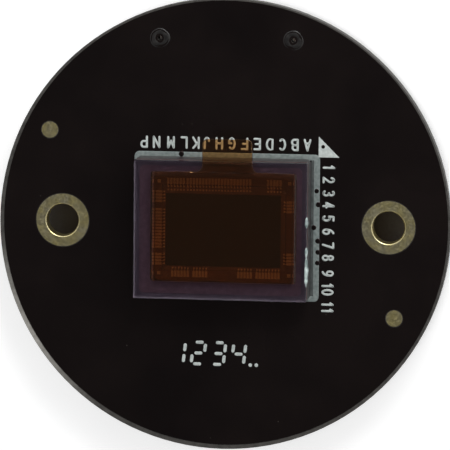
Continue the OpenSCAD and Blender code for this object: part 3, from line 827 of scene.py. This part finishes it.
def print_triangle(ink):
    """The solid corner mark of the first solder joint."""
    mesh_data = bmesh.new()
    middle = sum((Vector(p) for p in TRIANGLE), Vector((0, 0))) / len(TRIANGLE)
    rings = []
    for share, level in TRIANGLE_EDGE:
        spots = [middle + (Vector(p) - middle) * share for p in TRIANGLE]
        rings.append([(*spot, mask_top + level) for spot in spots])
    skin(mesh_data, rings)
    new_piece("corner_triangle", mesh_data, [ink], smooth=False)


def print_code(ink):
    """A plain running number in separate slanted bars, and two dots."""
    mesh_data = bmesh.new()
    cell_w, cell_h = CODE_CELL
    for i, bars in enumerate(CODE):
        x0 = CODE_FIRST[0] + i * CODE_PITCH
        for name in bars:
            points = []
            for u, v in BARS[name]:
                y = (v / 4 - 0.5) * cell_h
                x = (u / 2 - 0.5) * cell_w + y * CODE_SLANT
                points.append((x0 + x, CODE_FIRST[1] + y))
            ink_line(mesh_data, points, CODE_BAR, mask_top)
    for x, y in CODE_DOTS:
        low_dome(mesh_data, x, y, CODE_DOT_R, INK_T, mask_top)
    new_piece("running_number", mesh_data, [ink])


def covered_vias(mask):
    """Small plated holes under the mask, which stand slightly above the print."""
    mesh_data = bmesh.new()
    for x, y, radius in VIAS:
        low_dome(mesh_data, x, y, radius, INK_T + VIA_RISE, mask_top)
    piece = new_piece("covered_vias", mesh_data, [mask])


def pad_shoulders(mask):
    """The uneven swelling of the mask round each covered pad, sloping down to the board."""
    mesh_data = bmesh.new()
    for number, (x, y) in enumerate(PADS):
        rings = []
        for radius, level in PAD_SLOPE:
            ring = []
            for i in range(PAD_SIDES):
                a = 2 * math.pi * i / PAD_SIDES
                wave = ripple(PAD_WAVES, a, PAD_TURN * number)
                lift = 1 + PAD_LIFTS * wave if level > 0 else 1
                out = radius * (1 + PAD_WIDENS * wave)
                z = mask_top + level * lift
                ring.append((x + out * math.cos(a), y + out * math.sin(a), z))
            rings.append(ring)
        skin(mesh_data, rings, closed=True)
    piece = new_piece("pad_shoulders", mesh_data, [mask])


# ---------------------------------------------------------------- resin at the glass

# Middle along the side, half length and thickness of each run
RESIN_RUNS = [(0.46, 0.27, 0.10), (-1.45, 0.26, 0.09), (-2.70, 0.72, 0.11)]
# A run tapers off at this many half lengths from its middle, at this power of the distance
RUN_END = 1.35
RUN_TAPER = 2.6
# Sections from a run's middle to its end, and steps from its top to its foot
RUN_STEPS = 20
DROP_STEPS = 7
# Least thickness, unevenness along a run, and how round a section bulges (1 is a sine curve)
RUN_LEAST = 0.002
RUN_WAVES = [(9.0, 0.16, 0.0), (17.0, 0.1, 1.0)]
RUN_BULGE = 0.6
# The top lies this far below the glass's face, and rises with thickness up to a most
RUN_BELOW = 0.12
RUN_RISES = 0.9
RUN_MOST = 0.1
# The foot: height above the glass's underside, drop for each unit of thickness, and its waves
FOOT_ABOVE = 0.3
FOOT_DROPS = 5.5
FOOT_WAVES = [(5.1, 0.06, 0.0)]
# Gaps to the glass's side, at the runs' back and at their foot
RUN_GAP = 0.004
FOOT_GAP = 0.022


def resin_runs(resin):
    """Resin that came out along one side of the glass and ran a little way down the body."""
    # The runs' pale colour is partly a painted highlight along this side of the glass.
    glass_low, glass_high = (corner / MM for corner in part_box("cover_glass"))
    side = glass_high.x + RUN_GAP
    shoulder = glass_high.z - RUN_BELOW
    mesh_data = bmesh.new()
    for middle, half, height in RESIN_RUNS:
        rings = []
        for i in range(2 * RUN_STEPS + 1):
            along = RUN_END * (i / RUN_STEPS - 1)
            y = middle + half * along
            taper = max(0.0, 1 - abs(along / RUN_END) ** RUN_TAPER)
            thick = RUN_LEAST + height * (1 + ripple(RUN_WAVES, y)) * taper
            top = shoulder + RUN_RISES * min(thick, RUN_MOST)
            foot = glass_low.z + FOOT_ABOVE - FOOT_DROPS * thick - ripple(FOOT_WAVES, y)
            ring = [(side - (top - shoulder), y, top)]
            for k in range(1, DROP_STEPS):
                bulge = math.sin(math.pi * k / DROP_STEPS) ** RUN_BULGE
                ring.append((side + thick * bulge, y, top + (foot - top) * k / DROP_STEPS))
            ring.append((side + FOOT_GAP, y, foot))
            rings.append(ring)
        skin(mesh_data, rings)
    piece = new_piece("resin_runs", mesh_data, [resin])


# ---------------------------------------------------------------- film

# The film without its tab: length, corner radius, thickness and gap to the glass
FILM_L = 7.0
FILM_R = 0.15
FILM_T = 0.05
FILM_GAP = 0.004
# The tab: width, shift from the film's middle, corner radius and the flare at its root
TAB_W = 3.2
TAB_X = 0.23
TAB_R = 0.3
TAB_FLARE = 0.5
# Half the height of the film's wave, its rate and start each way, and how the tab curves up
FILM_WAVE = 0.0006
WAVE_X = (1.3, 0.6)
WAVE_Y = (1.1, 0.4)
TAB_LIFT = 0.012
# Columns of faces across the film, rows in the straight part of film and tab, and the short
# step in which the edge goes from the film's width to the tab's
FILM_COLUMNS = 36
FILM_ROWS = 24
TAB_ROWS = 8
TAB_STEP = 1e-6


def corner_cut(distance, radius):
    """How far a rounded corner stands back at a distance from the edge that it ends."""
    if distance >= radius:
        return 0.0
    return radius - math.sqrt(max(radius ** 2 - (radius - distance) ** 2, 0.0))


def film_edges(y, low, high):
    """Left and right edge of the film at a height y across the board."""
    top = low.y + FILM_L
    middle = (low.x + high.x) / 2
    if y <= top:
        cut = corner_cut(min(y - low.y, top - y), FILM_R)
        left, right = low.x + cut, high.x - cut
        if y < top - TAB_STEP / 2:
            return left, right
    tab_middle = middle + TAB_X
    half = TAB_W / 2 + corner_cut(y - top, TAB_FLARE) - corner_cut(high.y - y, TAB_R)
    return tab_middle - half, tab_middle + half


def film_rows(low, high):
    """Heights at which the film's edges are drawn, closer together where they curve."""
    top = low.y + FILM_L
    bend = [1 - math.cos(math.radians(a)) for a in (0, 15, 30, 45, 60, 75, 90)]
    rows = [low.y + FILM_R * b for b in bend]
    rows += [low.y + FILM_R + (FILM_L - 2 * FILM_R) * i / FILM_ROWS for i in range(1, FILM_ROWS)]
    rows += [top - FILM_R * b for b in reversed(bend[1:])]
    rows += [top - TAB_STEP, top]
    rows += [top + TAB_FLARE * b for b in bend[1:]]
    tab_straight = high.y - TAB_R - top - TAB_FLARE
    rows += [top + TAB_FLARE + tab_straight * i / TAB_ROWS for i in range(1, TAB_ROWS)]
    rows += [high.y - TAB_R * b for b in reversed(bend)]
    return rows


def protective_film(film, rim):
    """The amber film over the glass, with its pull tab lifting slightly off at the end."""
    low, high = (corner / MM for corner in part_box("protective_film"))
    mesh_data = bmesh.new()
    rows = []
    for y in film_rows(low, high):
        left, right = film_edges(y, low, high)
        row = []
        for i in range(FILM_COLUMNS + 1):
            x = left + (right - left) * i / FILM_COLUMNS
            wave = math.sin(WAVE_X[0] * x + WAVE_X[1]) * math.sin(WAVE_Y[0] * y + WAVE_Y[1])
            past = max(y - (low.y + FILM_L), 0.0)
            lift = FILM_WAVE * (wave + 1) + TAB_LIFT * past ** 2
            row.append(mesh_data.verts.new((x, y, low.z + FILM_GAP + lift)))
        rows.append(row)
    for below, above in zip(rows, rows[1:]):
        for i in range(FILM_COLUMNS):
            mesh_data.faces.new([below[i], below[i + 1], above[i + 1], above[i]])
    piece = new_piece("amber_film", mesh_data, [film, rim])
    thick = piece.modifiers.new("thickness", "SOLIDIFY")
    thick.thickness = FILM_T * MM
    thick.offset = 1.0
    thick.material_offset_rim = 1
    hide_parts("protective_film")


# ---------------------------------------------------------------- print on the back

# The first contact's mark: radius, and how far it stands off the connector's corner
CONTACT_MARK_R = 0.22
CONTACT_MARK_OFF = (0.55, 0.15)
# The capacitors' bands: half length, width and thickness, how far in from the bodies' end, and
# from the two bodies' outer sides to their middles
BAND_HALF = 0.56
BAND_W = 0.34
BAND_T = 0.01
BAND_IN = 0.42
BODY_HALF = 0.8


def mark_first_contact(ink):
    """A plain dot at the connector's first contact."""
    low, high = (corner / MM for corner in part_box("connector_housing"))
    x = low.x - CONTACT_MARK_OFF[0]
    y = high.y + CONTACT_MARK_OFF[1]
    mesh_data = bmesh.new()
    low_dome(mesh_data, x, y, CONTACT_MARK_R, INK_T, mask_under, up=-1)
    new_piece("first_contact_mark", mesh_data, [ink])


def band_capacitors(ink):
    """A band across one end of each of the two bulk capacitors."""
    low, high = (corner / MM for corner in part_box("bulk_capacitor_bodies"))
    x = low.x + BAND_IN
    mesh_data = bmesh.new()
    for y in (low.y + BODY_HALF, high.y - BODY_HALF):
        points = [(x, y - BAND_HALF), (x, y + BAND_HALF)]
        ink_line(mesh_data, points, BAND_W, low.z, up=-1, thickness=BAND_T)
    new_piece("capacitor_bands", mesh_data, [ink])


# ---------------------------------------------------------------- floor, light, camera

FLOOR_REACH = 1500.0

# The lamp's angles in degrees, distance and size in millimetres, and radiance
KEY_LAMP = {"azimuth": 67, "elevation": 42, "distance": 150, "size": (62, 56), "radiance": 10.0}
LAMP_TARGET = (0, 0, 4)

# Brightness of the room by height, from the horizon at 0 to straight up at 1, and its hint of blue
ROOM_STOPS = [(0.0, 0.12), (0.25, 0.3), (0.45, 1.0), (0.72, 1.0), (0.87, 0.2), (1.0, 0.1)]
ROOM_BLUE = 1.02
# The room's bright side in degrees, its strength away from that side and on it, and the
# cosines of the angle to it between which the strength grows
BRIGHT_SIDE = 65
ROOM_STRENGTH = (0.4, 1.45)
ROOM_TURNS = (-0.5, 0.5)

# The camera: angles in degrees, lengths in millimetres
CAMERA_TILT = 10.0
CAMERA_AZIMUTH = 45.0
CAMERA_DISTANCE = 300.0
CAMERA_ROLL = 0.510
CAMERA_SENSOR = 36.0
CAMERA_NEAR = 10.0
VIEW_WIDTH = 28.767
VIEW_CENTRE = (0.005, -0.082)


def lay_floor():
    """A flat sheet of paper under the part, far wider than any view."""
    mesh_data = bmesh.new()
    corners = [(-1, -1, 0), (1, -1, 0), (1, 1, 0), (-1, 1, 0)]
    mesh_data.faces.new([mesh_data.verts.new(Vector(corner) * FLOOR_REACH) for corner in corners])
    mesh = bpy.data.meshes.new("floor")
    mesh_data.to_mesh(mesh)
    mesh_data.free()
    mesh.transform(Matrix.Scale(MM, 4))
    mesh.materials.append(paper_floor())
    floor = bpy.data.objects.new("floor", mesh)
    bpy.context.scene.collection.objects.link(floor)


def direction(azimuth, elevation):
    """The unit vector at angles in degrees: round from +X, and up from the board's plane."""
    a = math.radians(azimuth)
    e = math.radians(elevation)
    return Vector((math.cos(e) * math.cos(a), math.cos(e) * math.sin(a), math.sin(e)))


def aim(thing, place, target, roll=0.0):
    """Stands a lamp or camera at place, looking at target with +Y up, turned by roll degrees."""
    back = (place - target).normalized()
    side = Vector((0, 1, 0)).cross(back).normalized()
    up = back.cross(side)
    turn = Matrix((side, up, back)).transposed() @ Matrix.Rotation(math.radians(roll), 3, "Z")
    thing.matrix_world = Matrix.Translation(place) @ turn.to_4x4()


def add_lamp(name, azimuth, elevation, distance, size, radiance):
    """A flat lamp of size (across, up) millimetres that sends out a given radiance."""
    light = bpy.data.lights.new(name, "AREA")
    light.shape = "RECTANGLE"
    light.size = size[0] * MM
    light.size_y = size[1] * MM
    light.energy = radiance * math.pi * light.size * light.size_y
    lamp = bpy.data.objects.new(name, light)
    bpy.context.scene.collection.objects.link(lamp)
    spot = Vector(LAMP_TARGET) * MM
    aim(lamp, spot + direction(azimuth, elevation) * distance * MM, spot)
    lamp.visible_camera = False


def light_world():
    """A room with a soft bright band half way up, strongest on one side; white to the camera."""
    world = bpy.data.worlds.new("soft_room")
    bpy.context.scene.world = world
    world.use_nodes = True
    tree = world.node_tree
    tree.nodes.clear()
    way = add_node(tree, "ShaderNodeTexCoord")["Generated"]
    height = add_node(tree, "ShaderNodeSeparateXYZ", [way])["Z"]
    band = add_node(tree, "ShaderNodeValToRGB", [height])["Color"]
    ramp = band.node.color_ramp
    ramp.interpolation = "EASE"
    for position, level in ROOM_STOPS:
        last = position == 1.0
        stop = ramp.elements[-1] if last else ramp.elements.new(position)
        stop.position = position
        stop.color = (level, level, level * ROOM_BLUE, 1.0)
    ramp.elements.remove(ramp.elements[0])
    facing = [way, direction(BRIGHT_SIDE, 0)]
    facing = add_node(tree, "ShaderNodeVectorMath", facing, operation="DOT_PRODUCT")["Value"]
    strength = add_node(tree, "ShaderNodeMapRange", [facing, *ROOM_TURNS, *ROOM_STRENGTH])[0]
    room = add_node(tree, "ShaderNodeBackground", [band, strength])[0]
    white = add_node(tree, "ShaderNodeBackground", [colour("#ffffff"), 1.0])[0]
    seen = add_node(tree, "ShaderNodeLightPath")["Is Camera Ray"]
    both = add_node(tree, "ShaderNodeMixShader", [seen, room, white])[0]
    add_node(tree, "ShaderNodeOutputWorld", {"Surface": both})


def stand_camera():
    """The camera looks down on the board, leaning to the upper right."""
    data = bpy.data.cameras.new("camera")
    camera = bpy.data.objects.new("camera", data)
    bpy.context.scene.collection.objects.link(camera)
    target = Vector((*VIEW_CENTRE, board_top)) * MM
    place = target + direction(CAMERA_AZIMUTH, 90 - CAMERA_TILT) * CAMERA_DISTANCE * MM
    aim(camera, place, target, CAMERA_ROLL)
    data.sensor_width = CAMERA_SENSOR
    data.lens = data.sensor_width * CAMERA_DISTANCE / VIEW_WIDTH
    data.clip_start = CAMERA_NEAR * MM
    bpy.context.scene.camera = camera


# ---------------------------------------------------------------- the part

mask = dress_board()
dress_sensor()
dress_back()

ink = white_epoxy_ink()
print_letters(ink)
print_numbers(ink)
# The outline's grey ink is painted shade from the ceramic body.
print_outline(outline_ink_painted_shade())
# A faint grey strip of painted shade beside the ceramic body.
print_painted_shade_strip(strip_ink_painted_shade())
print_triangle(ink)
print_code(ink)
covered_vias(mask)
pad_shoulders(mask_over_copper())
# The resin's pale colour is partly a painted highlight.
resin_runs(resin_with_painted_highlight())
part_surfaces("glass_seal")
protective_film(amber_film(), cut_film_edge())
mark_first_contact(ink)
band_capacitors(brown_polarity_ink())

lay_floor()
light_world()
add_lamp("key_lamp", **KEY_LAMP)
stand_camera()
bpy.context.scene.view_settings.view_transform = "Standard"
